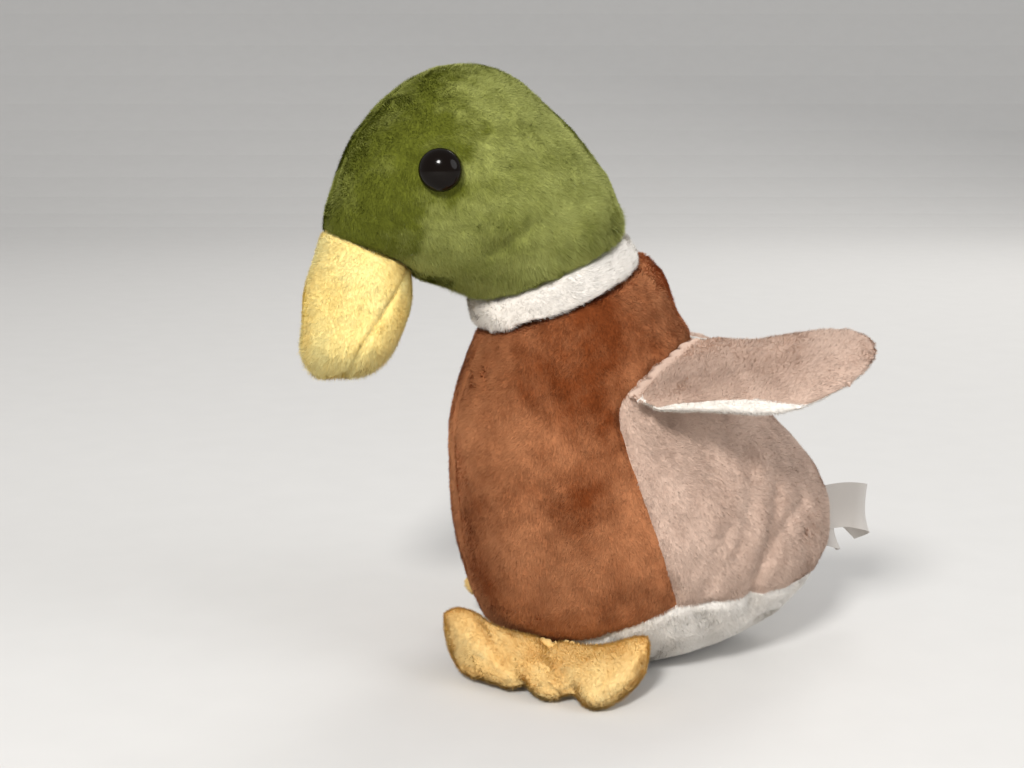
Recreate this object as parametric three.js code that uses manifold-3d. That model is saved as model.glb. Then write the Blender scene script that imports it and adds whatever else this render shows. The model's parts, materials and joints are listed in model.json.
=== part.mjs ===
// A plush duck: sewn cloth panels over fibre stuffing, with a pellet pouch in the belly.
// Millimetres, +Z up. The duck faces -Y and its left side is +X.
// The origin lies in the middle plane, on the flat face that the belly rests on.

import * as THREE from 'three';
import { mergeVertices } from 'three/addons/utils/BufferGeometryUtils.js';
import Module from 'manifold-3d';

const wasm = await Module();
wasm.setup();

// Body: an egg that leans back, with the neck at its front top
const body_length = 103;
const body_height = 93.3;
const body_width = 82;
const rest_flat_depth = 0.5;

// Neck and collar
const neck_depth = 44.2;
const neck_width = 44;
const neck_tilt_deg = 23;
const neck_forward = 11.6;
const collar_height = 9.2;
const collar_bulge = 0.6;
const collar_top_depth = 42;
const collar_top_width = 43;

// Head, from the collar over the crown to the seam of the bill
const head_length = 75;
const head_height = 54;
const head_width = 55;

// Bill, hanging down and forward from its seam
const bill_length = 30;
const bill_depth = 21.5;
const bill_width = 29;

// Cloth, stuffing and the room between touching pieces
const cloth_thickness = 2.2;
const limb_cloth_thickness = 1.3;
const seam_gap = 0.36;
const piece_gap = 0.35;
const pouch_top = 24;

// Eyes: a glossy dome on a shank, held by a washer behind the cloth
const eye_diameter = 10;
const eye_dome_height = 4.4;
const eye_rim_height = 0.8;
const eye_shank_diameter = 3.4;
const eye_shank_length = 7.5;
const eye_washer_diameter = 12;
const eye_washer_thickness = 1.2;

// Wings
const wing_reach = 44.5;
const wing_sweep = 26.5;
const wing_root_half = 12.6;
const wing_thickness = 7;
const left_wing_lift_deg = 54;
const right_wing_lift_deg = 26;

// Feet, sewn on above the floor and sloping down to it
const foot_reach = 20;
const foot_width = 54;
const foot_root_half = 14;
const foot_thickness = 7.4;
const foot_sole_depth = 2.8;
const foot_slope_deg = 27;
const foot_root_sink = 1.1;
const right_foot_turn_deg = 34;

// Groove in the body round the root of each limb
const root_room = 1.9;

// Care label, a folded ribbon sewn into the seam up the back
const label_width = 12.4;
const label_thickness = 0.8;
const label_bottom = 25.6;
const label_outer_length = 27;
const label_inner_length = 12;
const label_curl_radius = 6;
const label_root_sink = 0.7;

// One overrun serves every cut
const overrun = 40;

// Steps of the lofted forms
const around_steps = 26;
const along_steps = 14;
const core_around_steps = 18;
const core_along_steps = 10;
const round_steps = 18;

const degrees = Math.PI / 180;
const up = new THREE.Vector3(0, 0, 1);
const side_axis = new THREE.Vector3(1, 0, 0);

// Solids from closed geometry, turned the right way out
function solidOf(geometry) {
  const bare = geometry.index ? geometry.clone() : geometry;
  bare.deleteAttribute('normal');
  bare.deleteAttribute('uv');
  const merged = mergeVertices(bare);
  const places = merged.attributes.position.array;
  const corners = merged.index.array;
  const a = new THREE.Vector3();
  const b = new THREE.Vector3();
  const c = new THREE.Vector3();
  const triangles = [];
  let volume = 0;
  for (let i = 0; i < corners.length; i += 3) {
    const [p, q, r] = [corners[i], corners[i + 1], corners[i + 2]];
    if (p === q || q === r || r === p) continue;
    a.fromArray(places, 3 * p);
    b.fromArray(places, 3 * q);
    c.fromArray(places, 3 * r);
    volume += a.dot(b.cross(c));
    triangles.push([p, q, r]);
  }
  const turned = volume < 0 ? triangles.map(([p, q, r]) => [p, r, q]) : triangles;
  return new wasm.Manifold(new wasm.Mesh({
    numProp: 3,
    vertProperties: new Float32Array(places),
    triVerts: new Uint32Array(turned.flat()),
  }));
}

function geometryOf(solid) {
  const mesh = solid.getMesh();
  const geometry = new THREE.BufferGeometry();
  geometry.setAttribute('position', new THREE.BufferAttribute(new Float32Array(mesh.vertProperties), 3));
  geometry.setIndex(new THREE.BufferAttribute(new Uint32Array(mesh.triVerts), 1));
  geometry.computeVertexNormals();
  return geometry;
}

// A closed skin over rings of points, with a fan over each end
function loft(rings) {
  const count = rings[0].length;
  const places = [];
  const corners = [];
  for (const ring of rings) {
    for (const p of ring) places.push(p.x, p.y, p.z);
  }
  for (let k = 0; k + 1 < rings.length; k++) {
    for (let i = 0; i < count; i++) {
      const j = (i + 1) % count;
      const [p, q] = [k * count + i, k * count + j];
      corners.push(p, q, q + count, p, q + count, p + count);
    }
  }
  const middle = (ring) => ring.reduce((sum, p) => sum.add(p), new THREE.Vector3()).divideScalar(count);
  const first = places.length / 3;
  const start = middle(rings[0]);
  const end = middle(rings[rings.length - 1]);
  places.push(start.x, start.y, start.z, end.x, end.y, end.z);
  const last_ring = (rings.length - 1) * count;
  for (let i = 0; i < count; i++) {
    const j = (i + 1) % count;
    corners.push(first, j, i, first + 1, last_ring + i, last_ring + j);
  }
  const geometry = new THREE.BufferGeometry();
  geometry.setAttribute('position', new THREE.BufferAttribute(new Float32Array(places), 3));
  geometry.setIndex(corners);
  return geometry;
}

// A row of a form is one ring: its front point and back point in the middle plane, and half its width
function row(front_y, front_z, back_y, back_z, half_width) {
  return { front: new THREE.Vector2(front_y, front_z), back: new THREE.Vector2(back_y, back_z), half_width };
}

function ringRow(centre, tilt_deg, depth, width) {
  const reach_y = depth / 2 * Math.cos(tilt_deg * degrees);
  const reach_z = depth / 2 * Math.sin(tilt_deg * degrees);
  return row(centre.x - reach_y, centre.y - reach_z, centre.x + reach_y, centre.y + reach_z, width / 2);
}

// A form swells and tapers between its rows; share runs 0 to 1 along it and angle 0 is its front
class Form {
  constructor(rows) {
    this.front = new THREE.SplineCurve(rows.map((r) => r.front));
    this.back = new THREE.SplineCurve(rows.map((r) => r.back));
    this.width = new THREE.SplineCurve(rows.map((r, i) => new THREE.Vector2(i, r.half_width)));
  }

  point(share, angle, inset = 0) {
    const front = this.front.getPoint(share);
    const back = this.back.getPoint(share);
    const middle = front.clone().add(back).divideScalar(2);
    const reach = back.clone().sub(front).divideScalar(2);
    const half = Math.max(reach.length() - inset, seam_gap);
    reach.normalize().multiplyScalar(-half * Math.cos(angle));
    const wide = Math.max(this.width.getPoint(share).y - inset, seam_gap);
    return new THREE.Vector3(wide * Math.sin(angle), middle.x + reach.x, middle.y + reach.y);
  }

  normal(share, angle) {
    const step_share = 0.01;
    const along = this.point(share + step_share, angle).sub(this.point(share - step_share, angle));
    const round = this.point(share, angle + step_share).sub(this.point(share, angle - step_share));
    return round.cross(along).normalize();
  }

  ring(share, inset, steps) {
    return Array.from({ length: steps }, (_, i) => this.point(share, 2 * Math.PI * i / steps, inset));
  }

  // The solid inside the form, drawn in by inset, with each end run on by a vector where one is given
  solid(choices = {}) {
    const { inset = 0, from = 0, to = 1, start_run, end_run } = choices;
    const { steps = along_steps, around = around_steps } = choices;
    const shares = Array.from({ length: steps + 1 }, (_, k) => from + (to - from) * k / steps);
    const rings = shares.map((share) => this.ring(share, inset, around));
    if (start_run) rings.unshift(rings[0].map((p) => p.clone().add(start_run)));
    if (end_run) rings.push(rings[rings.length - 1].map((p) => p.clone().add(end_run)));
    return solidOf(loft(rings));
  }
}

// A prism whose outline lies in the middle plane, run along X between two places
function sidePrism(outline, from_x, to_x) {
  const shape = new THREE.Shape(outline);
  const geometry = new THREE.ExtrudeGeometry(shape, { depth: to_x - from_x, bevelEnabled: false });
  const turn = new THREE.Matrix4().makeBasis(new THREE.Vector3(0, 1, 0), up, side_axis);
  geometry.applyMatrix4(turn);
  geometry.translate(from_x, 0, 0);
  return solidOf(geometry);
}

function boxGeometry(low, high) {
  const size = high.clone().sub(low);
  const geometry = new THREE.BoxGeometry(size.x, size.y, size.z);
  return geometry.translate((low.x + high.x) / 2, (low.y + high.y) / 2, (low.z + high.z) / 2);
}

const far = body_length + overrun;
const corner_at = (reach, z) => new THREE.Vector3(reach, reach, z);
const slab = (low, high) => boxGeometry(corner_at(-far, low), corner_at(far, high));
const aboveGeometry = (z) => slab(z, z + 2 * far);
const belowGeometry = (z) => slab(z - 2 * far, z);
const above = (z) => solidOf(aboveGeometry(z));
const below = (z) => solidOf(belowGeometry(z));
const placed = (geometry, matrix) => solidOf(geometry.clone().applyMatrix4(matrix));
const half_of = {
  left: [seam_gap / 2, far],
  right: [-far, -seam_gap / 2],
};

// Body
const neck_centre = new THREE.Vector2(-neck_forward, body_height);
const neck_axis = new THREE.Vector3(0, -Math.sin(neck_tilt_deg * degrees), Math.cos(neck_tilt_deg * degrees));
const neck_ring = ringRow(neck_centre, neck_tilt_deg, neck_depth, neck_width);

const body_foot_shares = [-0.12, 0.21, 0.17];
const body_row_shares = [
  [-0.21, 0.027, 0.315, 0.027, 0.25],
  [-0.27, 0.076, 0.42, 0.076, 0.335],
  [-0.312, 0.14, 0.505, 0.14, 0.41],
  [-0.348, 0.238, 0.575, 0.238, 0.47],
  [-0.369, 0.346, 0.612, 0.346, 0.5],
  [-0.381, 0.454, 0.59, 0.454, 0.49],
  [-0.386, 0.551, 0.535, 0.551, 0.463],
  [-0.381, 0.648, 0.455, 0.648, 0.424],
  [-0.365, 0.745, 0.355, 0.745, 0.38],
  [-0.346, 0.821, 0.262, 0.837, 0.343],
  [-0.328, 0.875, 0.19, 0.95, 0.305],
  [-0.323, 0.893, 0.157, 1.03, 0.287],
];
const body_rows = body_row_shares.map(([fy, fz, by, bz, w]) => row(
  fy * body_length, fz * body_height, by * body_length, bz * body_height, w * body_width));
const [foot_front_share, foot_back_share, foot_width_share] = body_foot_shares;
body_rows.unshift(row(
  foot_front_share * body_length, -rest_flat_depth,
  foot_back_share * body_length, -rest_flat_depth, foot_width_share * body_width));
body_rows.push(neck_ring);
const body_form = new Form(body_rows);
const neck_run = neck_axis.clone().multiplyScalar(overrun);

const body_outer = body_form.solid().intersect(above(0));
const body_inner = body_form.solid({
  inset: cloth_thickness, end_run: neck_run, steps: core_along_steps, around: core_around_steps,
}).intersect(above(cloth_thickness));
const body_core = body_form.solid({
  inset: cloth_thickness + piece_gap, steps: core_along_steps, around: core_around_steps,
}).intersect(above(cloth_thickness + piece_gap));
const body_shell = body_outer.subtract(body_inner);

// Seams of the body, in the middle plane: shares of the body's length and height
const seam_corner_share = [0.06, 0.227];
const breast_seam_shares = [
  [0.012, 0.377], [-0.045, 0.589], [-0.066, 0.728], [-0.037, 0.789],
  [0.058, 0.853], [0.155, 0.886], [0.27, 0.88], [0.44, 0.864],
];
const belly_front_shares = [[-0.019, 0.178], [-0.187, 0.081], [-0.336, 0.032], [-0.56, 0.011]];
const belly_rear_shares = [[0.26, 0.225], [0.44, 0.225], [0.58, 0.22], [0.9, 0.21]];
const on_body = ([y, z]) => new THREE.Vector2(y * body_length, z * body_height);
const seam_corner = on_body(seam_corner_share);
const smooth = (points, steps) => new THREE.SplineCurve(points).getPoints(steps);
const seam_steps = 18;
const breast_seam = smooth([seam_corner, ...breast_seam_shares.map(on_body)], seam_steps).slice(1);
const belly_front = smooth([seam_corner, ...belly_front_shares.map(on_body)], seam_steps).slice(1);
const belly_rear = smooth([seam_corner, ...belly_rear_shares.map(on_body)], seam_steps).slice(1);
const moved = (points, y, z) => points.map((p) => new THREE.Vector2(p.x + y, p.y + z));
const half_gap = seam_gap / 2;
const top_of = (p) => new THREE.Vector2(p.x, far);
const last = (points) => points[points.length - 1];

const breast_outline = [
  ...moved([seam_corner], -half_gap, half_gap),
  ...moved(breast_seam, -half_gap, half_gap),
  top_of(last(breast_seam)),
  new THREE.Vector2(-far, far),
  new THREE.Vector2(-far, last(belly_front).y),
  ...moved(belly_front, 0, half_gap).reverse(),
];
const flank_outline = [
  ...moved([seam_corner], half_gap, half_gap),
  ...moved(belly_rear, 0, half_gap),
  new THREE.Vector2(far, last(belly_rear).y),
  new THREE.Vector2(far, last(breast_seam).y),
  ...moved(breast_seam, half_gap, -half_gap).reverse(),
];
const belly_outline = [
  new THREE.Vector2(-far, -far),
  new THREE.Vector2(far, -far),
  new THREE.Vector2(far, last(belly_rear).y),
  ...moved(belly_rear, 0, -half_gap).reverse(),
  ...moved([seam_corner], 0, -half_gap),
  ...moved(belly_front, 0, -half_gap),
  new THREE.Vector2(-far, last(belly_front).y),
];

// Limbs: a padded leaf whose edge is its seam; its root lies on a hinge line on the body
const rise_shares = [1, 0.94, 0.77, 0.45];
const sole_shares = [0.98, 0.93];
const edge_inset_share = 1.6;
const least_share = 0.1;

// A leaf is its outline, its middle, how far it swells up and down, and how it thins towards its root
function leafGeometry(leaf, inset) {
  const { outline, middle, crown, sole, root_share, root_half, taper_length } = leaf;
  const swell = ({ x, y }) => {
    const beyond = Math.hypot(Math.max(x, 0), Math.max(Math.abs(y) - root_half, 0));
    return Math.min(1, root_share + (1 - root_share) * beyond / taper_length);
  };
  const edge = outline.map((p) => {
    const ray = p.clone().sub(middle);
    const share = Math.max(1 - edge_inset_share * inset / ray.length(), least_share);
    return middle.clone().addScaledVector(ray, share);
  });
  const ring = (share, height) => edge.map((p) => {
    const spot = middle.clone().lerp(p, share);
    return new THREE.Vector3(spot.x, spot.y, height(share) * swell(spot));
  });
  const round = (rise) => (share) => rise * Math.sqrt(1 - share * share);
  const flat = (share) => (share < sole_shares[0] ? inset - sole : (inset - sole) / 2);
  const under = sole
    ? sole_shares.map((share) => ring(share, flat))
    : rise_shares.slice(1).map((share) => ring(share, round(inset - crown)));
  const over = rise_shares.map((share) => ring(share, round(crown - inset)));
  return loft([...under.reverse(), ...over]);
}

// A hinge on the body: its line touches the body's surface at the middle of the root
function hingeOn(form, start, end) {
  const [a, b] = [form.point(...start), form.point(...end)];
  const middle_place = [(start[0] + end[0]) / 2, (start[1] + end[1]) / 2];
  const middle = form.point(...middle_place);
  const along = b.clone().sub(a).normalize();
  const out = form.normal(...middle_place);
  out.addScaledVector(along, -out.dot(along)).normalize();
  return { middle, along, out };
}

function mirrored(hinge, side) {
  if (side === 'left') return hinge;
  const flip = (v) => new THREE.Vector3(-v.x, v.y, v.z);
  return { middle: flip(hinge.middle), along: flip(hinge.along), out: flip(hinge.out) };
}

// A limb's own axes: out along it, along its hinge, and out of its upper face
function limbPlace(root, span, line) {
  const face = span.clone().cross(line);
  if (face.z < 0) face.negate();
  return new THREE.Matrix4().makeBasis(span, line, face).setPosition(root);
}

// The two cloths of a limb and its wadding, cut flat where they rest on the floor
function limbPieces(leaf, place) {
  const padded = (inset) => placed(leafGeometry(leaf, inset), place).intersect(above(inset));
  const shell = padded(0).subtract(padded(limb_cloth_thickness));
  return {
    top: shell.intersect(placed(aboveGeometry(half_gap), place)),
    under: shell.intersect(placed(belowGeometry(-half_gap), place)),
    wadding: padded(limb_cloth_thickness + piece_gap),
  };
}

function rootRoom(place, half_length) {
  const length = 2 * half_length + 2 * root_room;
  return placed(new THREE.CylinderGeometry(root_room, root_room, length, round_steps), place);
}

// Wings
const wing_root_start_share = [0.725, 83 * degrees];
const wing_root_end_share = [0.817, 134 * degrees];
const wing_hinge = hingeOn(body_form, wing_root_start_share, wing_root_end_share);
const wing_outline_steps = 27;
const wing_outline_shares = [
  [0, -0.41], [0.17, -0.5], [0.39, -0.46], [0.62, -0.33], [0.8, -0.15], [0.93, 0.1],
  [1, 0.4], [0.98, 0.75], [0.9, 0.95], [0.77, 1], [0.55, 0.85], [0.4, 0.7], [0.24, 0.6], [0.1, 0.55],
  [0, 0.41],
];
const wing_middle_share = [0.48, 0.16];
const wing_root_share = 0.4;
const wing_taper_share = 0.33;
const on_wing = ([x, y]) => new THREE.Vector2(x * wing_reach, y * wing_sweep);
const wing_leaf = {
  outline: smooth(wing_outline_shares.map(on_wing), wing_outline_steps),
  middle: on_wing(wing_middle_share),
  crown: wing_thickness / 2,
  sole: 0,
  root_share: wing_root_share,
  root_half: wing_root_half,
  taper_length: wing_taper_share * wing_reach,
};

function wingPlace(side) {
  const { middle, along, out } = mirrored(wing_hinge, side);
  const lift = (side === 'left' ? left_wing_lift_deg : right_wing_lift_deg) * degrees;
  const down = along.clone().cross(out).normalize();
  if (down.z > 0) down.negate();
  const span = down.multiplyScalar(Math.cos(lift)).addScaledVector(out, Math.sin(lift));
  return limbPlace(middle, span, along);
}

// Feet
const foot_root_height_share = 0.2;
const foot_root_from_deg = 14;
const foot_root_to_deg = 76;
const foot_outline_shares = [
  [0, -0.26], [0, -0.35], [-0.04, -0.444], [-0.03, -0.519], [0.08, -0.556],
  [0.25, -0.519], [0.425, -0.435], [0.6, -0.324], [0.74, -0.204], [0.8, -0.12], [0.755, -0.072],
  [0.84, -0.019], [0.91, 0.052], [0.88, 0.111], [0.805, 0.153], [0.86, 0.204], [0.89, 0.269],
  [0.775, 0.343], [0.575, 0.398], [0.325, 0.426], [0.08, 0.42], [-0.03, 0.36], [0, 0.26],
];
const foot_middle_share = [0.4, 0.01];
const foot_root_share = 0.3;
const foot_taper_share = 0.75;
const foot_outline_steps = 36;

const on_foot = ([x, y]) => new THREE.Vector2(x * foot_reach, y * foot_width);

const foot_leaf = {
  outline: smooth(foot_outline_shares.map(on_foot), foot_outline_steps),
  middle: on_foot(foot_middle_share),
  crown: foot_thickness - foot_sole_depth,
  sole: foot_sole_depth,
  root_share: foot_root_share,
  root_half: foot_root_half,
  taper_length: foot_taper_share * foot_reach,
};

function footHinge(side) {
  const turn_deg = side === 'left' ? 0 : right_foot_turn_deg;
  const start = [foot_root_height_share, (foot_root_from_deg + turn_deg) * degrees];
  const end = [foot_root_height_share, (foot_root_to_deg + turn_deg) * degrees];
  return mirrored(hingeOn(body_form, start, end), side);
}

function footPlace(side) {
  const { middle, along, out } = footHinge(side);
  const ahead = along.clone().cross(up).normalize();
  if (ahead.dot(out) < 0) ahead.negate();
  const slope = foot_slope_deg * degrees;
  const span = ahead.multiplyScalar(Math.cos(slope)).addScaledVector(up, -Math.sin(slope));
  return limbPlace(middle.clone().addScaledVector(out, -foot_root_sink), span, along);
}

const sides = ['left', 'right'];
const limbs = {};
let body_cut = body_shell;
for (const side of sides) {
  limbs[`wing_${side}`] = limbPieces(wing_leaf, wingPlace(side));
  limbs[`foot_${side}`] = limbPieces(foot_leaf, footPlace(side));
  body_cut = body_cut.subtract(rootRoom(wingPlace(side), wing_root_half));
  body_cut = body_cut.subtract(rootRoom(footPlace(side), foot_root_half));
}

// Neck: a collar ring round a core of stuffing
const collar_top = neck_centre.clone().add(
  new THREE.Vector2(neck_axis.y, neck_axis.z).multiplyScalar(collar_height));
const collar_middle = neck_centre.clone().add(collar_top).divideScalar(2);
const head_ring = ringRow(collar_top, neck_tilt_deg, collar_top_depth, collar_top_width);
const collar_form = new Form([
  neck_ring,
  ringRow(
    collar_middle, neck_tilt_deg,
    (neck_depth + collar_top_depth) / 2 + 2 * collar_bulge,
    (neck_width + collar_top_width) / 2 + 2 * collar_bulge),
  head_ring,
]);
const collar_from = seam_gap / collar_height;
const collar_steps = 5;
const collar_ends = { from: collar_from, to: 1 - collar_from, steps: collar_steps };
const collar_outer = collar_form.solid(collar_ends);
const collar_inner = collar_form.solid({
  inset: cloth_thickness, steps: collar_steps, around: core_around_steps,
  start_run: neck_run.clone().negate(), end_run: neck_run,
});
const neck_core = collar_form.solid({
  inset: cloth_thickness + piece_gap, ...collar_ends, around: core_around_steps,
});

// Head
const head_row_shares = [
  [-0.29, -0.12, 0.215, 0.35, 0.445],
  [-0.325, -0.107, 0.128, 0.522, 0.482],
  [-0.359, -0.096, 0.015, 0.667, 0.5],
  [-0.392, -0.087, -0.145, 0.819, 0.5],
  [-0.419, -0.078, -0.319, 0.869, 0.482],
  [-0.439, -0.067, -0.479, 0.796, 0.455],
  [-0.452, -0.05, -0.612, 0.611, 0.41],
  [-0.463, -0.028, -0.685, 0.407, 0.345],
  [-0.469, 0.006, -0.729, 0.165, 0.24],
];
const head_rows = head_row_shares.map(([fy, fz, by, bz, w]) => row(
  collar_top.x + fy * head_length, collar_top.y + fz * head_height,
  collar_top.x + by * head_length, collar_top.y + bz * head_height, w * head_width));
const bill_ring = last(head_rows);
const head_form = new Form([head_ring, ...head_rows]);
const bill_seam_chord = bill_ring.back.clone().sub(bill_ring.front).normalize();
const bill_axis = new THREE.Vector3(0, -bill_seam_chord.y, bill_seam_chord.x);
if (bill_axis.z > 0) bill_axis.negate();
const bill_run = bill_axis.clone().multiplyScalar(overrun);

const head_outer = head_form.solid();
const head_inner = head_form.solid({
  inset: cloth_thickness, steps: core_along_steps, around: core_around_steps,
  start_run: neck_run.clone().negate(), end_run: bill_run,
});
const head_gap_share = seam_gap / head_length;
const head_core = head_form.solid({
  inset: cloth_thickness + piece_gap, steps: core_along_steps, around: core_around_steps,
  from: head_gap_share, to: 1 - head_gap_share,
});

// Bill
const bill_row_shares = [
  [0.47, -0.39, -0.565, -0.196, 0.483],
  [0.42, -0.59, -0.616, -0.414, 0.5],
  [0.23, -0.818, -0.658, -0.67, 0.51],
  [0.05, -0.926, -0.649, -0.814, 0.448],
  [-0.16, -0.985, -0.533, -0.929, 0.293],
];
const bill_centre = bill_ring.front.clone().add(bill_ring.back).divideScalar(2);
const bill_rows = bill_row_shares.map(([fy, fz, by, bz, w]) => row(
  bill_centre.x + fy * bill_depth, bill_centre.y + fz * bill_length,
  bill_centre.x + by * bill_depth, bill_centre.y + bz * bill_length, w * bill_width));
const bill_form = new Form([bill_ring, ...bill_rows]);
const bill_steps = 7;
const bill_gap_share = seam_gap / bill_length;
const bill_outer = bill_form.solid({ from: bill_gap_share, steps: bill_steps });
const bill_inner = bill_form.solid({
  inset: limb_cloth_thickness, to: 1 - limb_cloth_thickness / bill_length,
  steps: bill_steps, around: core_around_steps, start_run: bill_run.clone().negate(),
});
const bill_core = bill_form.solid({
  inset: limb_cloth_thickness + piece_gap, from: bill_gap_share,
  to: 1 - (limb_cloth_thickness + piece_gap) / bill_length, steps: bill_steps, around: core_around_steps,
});
const bill_shell = bill_outer.subtract(bill_inner);
const bill_grown = bill_form.solid({ inset: -piece_gap, steps: bill_steps });
const bill_seam_shares = [[0.42, -0.1], [0.2, -0.3], [-0.08, -0.55], [-0.3, -0.8], [-0.45, -1.2]];
const bill_seam = smooth(bill_seam_shares.map(([y, z]) => new THREE.Vector2(
  bill_centre.x + y * bill_depth, bill_centre.y + z * bill_length)), seam_steps);
const bill_upper_outline = [
  ...moved(bill_seam, -half_gap, half_gap / 2),
  new THREE.Vector2(-far, last(bill_seam).y),
  new THREE.Vector2(-far, far),
  new THREE.Vector2(bill_seam[0].x, far),
];
const bill_lower_outline = [
  ...moved(bill_seam, half_gap, -half_gap / 2),
  new THREE.Vector2(far, last(bill_seam).y),
  new THREE.Vector2(far, far),
  new THREE.Vector2(bill_seam[0].x + half_gap, far),
];

// Eyes
const eye_place_share = [0.65, 100 * degrees];
const eye_radius = eye_diameter / 2;
const shank_radius = eye_shank_diameter / 2;
const washer_radius = eye_washer_diameter / 2;
const washer_dip_share = 2.2;
const washer_dip = washer_dip_share * washer_radius * washer_radius / head_width;
const washer_depth = cloth_thickness + washer_dip + piece_gap;

function revolved(points, steps) {
  const geometry = new THREE.LatheGeometry(points.map(([x, y]) => new THREE.Vector2(x, y)), steps);
  geometry.rotateX(Math.PI / 2);
  return geometry;
}

function eyeGeometry() {
  const dome_steps = 6;
  const dome_rise = eye_dome_height - eye_rim_height;
  const shank = [[0, -eye_shank_length], [shank_radius, -eye_shank_length], [shank_radius, 0]];
  const profile = [...shank, [eye_radius, 0]];
  for (let k = 0; k <= dome_steps; k++) {
    const angle = Math.PI / 2 * k / dome_steps;
    const radius = k === dome_steps ? 0 : eye_radius * Math.cos(angle);
    profile.push([radius, eye_rim_height + dome_rise * Math.sin(angle)]);
  }
  return revolved(profile, round_steps);
}

function washerGeometry() {
  const bore = shank_radius + seam_gap;
  const [low, high] = [-washer_depth - eye_washer_thickness, -washer_depth];
  const rim = [[washer_radius, low], [washer_radius, high]];
  return revolved([[bore, low], ...rim, [bore, high], [bore, low]], round_steps);
}

function pocketGeometry() {
  const deep = eye_shank_length + piece_gap;
  const radius = washer_radius + piece_gap;
  return revolved([[0, -deep], [radius, -deep], [radius, 0], [0, 0]], round_steps);
}

function shankHoleGeometry() {
  const radius = shank_radius + seam_gap;
  const half = overrun / 2;
  return revolved([[0, -half], [radius, -half], [radius, half], [0, half]], round_steps);
}

function eyePlace(side) {
  const [share, angle] = eye_place_share;
  const turned = side === 'left' ? angle : -angle;
  const seat = head_form.point(share, turned);
  const out = seat.clone().sub(head_form.point(share, turned, cloth_thickness));
  const facing = head_form.normal(share, turned);
  if (facing.dot(out) < 0) facing.negate();
  const turn = new THREE.Quaternion().setFromUnitVectors(up, facing);
  const place = seat.addScaledVector(facing, seam_gap);
  return new THREE.Matrix4().compose(place, turn, new THREE.Vector3(1, 1, 1));
}

const eye_places = { left: eyePlace('left'), right: eyePlace('right') };
const atEyes = (geometry) => placed(geometry, eye_places.left).add(placed(geometry, eye_places.right));
const pockets = atEyes(pocketGeometry());
const shank_holes = atEyes(shankHoleGeometry());
const head_shell = head_outer.subtract(head_inner).subtract(shank_holes);

// Care label: two leaves of ribbon that leave the back seam together and curl apart
const label_steps = 8;
const label_droop_share = 0.54;
const label_straight_share = 0.4;

function labelLeaf(length, turn_sign, offset) {
  const straight = label_straight_share * (length - label_curl_radius);
  const spots = [];
  for (let k = 0; k <= label_steps; k++) {
    const s = length * k / label_steps;
    const bend = Math.max(s - straight, 0) / label_curl_radius;
    const ahead = Math.min(s, straight) + label_curl_radius * Math.sin(bend);
    const aside = offset + turn_sign * label_curl_radius * (1 - Math.cos(bend));
    spots.push({ x: aside, y: ahead, turn: turn_sign * bend, drop: label_droop_share * s * s / label_outer_length });
  }
  const rings = spots.map(({ x, y, turn, drop }) => {
    const half = label_thickness / 2;
    const across = new THREE.Vector3(Math.cos(turn), -Math.sin(turn), 0);
    const corner = (side, z) => new THREE.Vector3(x, y, z - drop).addScaledVector(across, side * half);
    return [corner(-1, 0), corner(1, 0), corner(1, label_width), corner(-1, label_width)];
  });
  return solidOf(loft(rings));
}

const back_share = 0.7;
const halvings = 30;

function backSeamY(z) {
  let [low, high] = [0, back_share];
  for (let k = 0; k < halvings; k++) {
    const middle = (low + high) / 2;
    if (body_form.point(middle, Math.PI).z < z) low = middle;
    else high = middle;
  }
  return body_form.point(low, Math.PI).y;
}

const label_seam_y = Math.max(
  backSeamY(label_bottom), backSeamY(label_bottom + label_width / 2), backSeamY(label_bottom + label_width));
const label_root = new THREE.Vector3(0, label_seam_y + seam_gap - label_root_sink, label_bottom);
const label_place = new THREE.Matrix4().setPosition(label_root);
const leaf_overlap = label_thickness / 4;
const label_geometry = geometryOf(labelLeaf(label_outer_length, -1, label_thickness / 2 - leaf_overlap)
  .add(labelLeaf(label_inner_length, 1, leaf_overlap - label_thickness / 2)));

// Materials
function cloth(color) {
  return new THREE.MeshStandardMaterial({ color, roughness: 0.95, metalness: 0 });
}

const finishes = {
  brown: () => cloth(0x8c5431),
  taupe: () => cloth(0xc4ac98),
  white: () => cloth(0xe6ded4),
  green: () => cloth(0x67732f),
  yellow: () => cloth(0xf0ce74),
  orange: () => cloth(0xe3b163),
  stuffing: () => cloth(0xf4f2ec),
  pouch: () => cloth(0xd9d4c8),
  ribbon: () => new THREE.MeshStandardMaterial({ color: 0xf0efea, roughness: 0.5, metalness: 0 }),
  eye: () => new THREE.MeshStandardMaterial({ color: 0x0c0907, roughness: 0.08, metalness: 0 }),
  washer: () => new THREE.MeshStandardMaterial({ color: 0xe8e8e4, roughness: 0.5, metalness: 0 }),
};

const duck = new THREE.Group();

function addPiece(name, solid, finish) {
  const mesh = new THREE.Mesh(geometryOf(solid), finishes[finish]());
  mesh.name = name;
  duck.add(mesh);
}

// Body pieces
for (const side of sides) {
  addPiece(`breast_${side}`, body_cut.intersect(sidePrism(breast_outline, ...half_of[side])), 'brown');
  addPiece(`flank_${side}`, body_cut.intersect(sidePrism(flank_outline, ...half_of[side])), 'taupe');
}
addPiece('belly', body_cut.intersect(sidePrism(belly_outline, -far, far)), 'white');
addPiece('body_stuffing', body_core.intersect(above(pouch_top + seam_gap)), 'stuffing');
addPiece('pellet_pouch', body_core.intersect(below(pouch_top)), 'pouch');

// Neck pieces
addPiece('collar', collar_outer.subtract(collar_inner), 'white');
addPiece('neck_stuffing', neck_core, 'stuffing');

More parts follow.
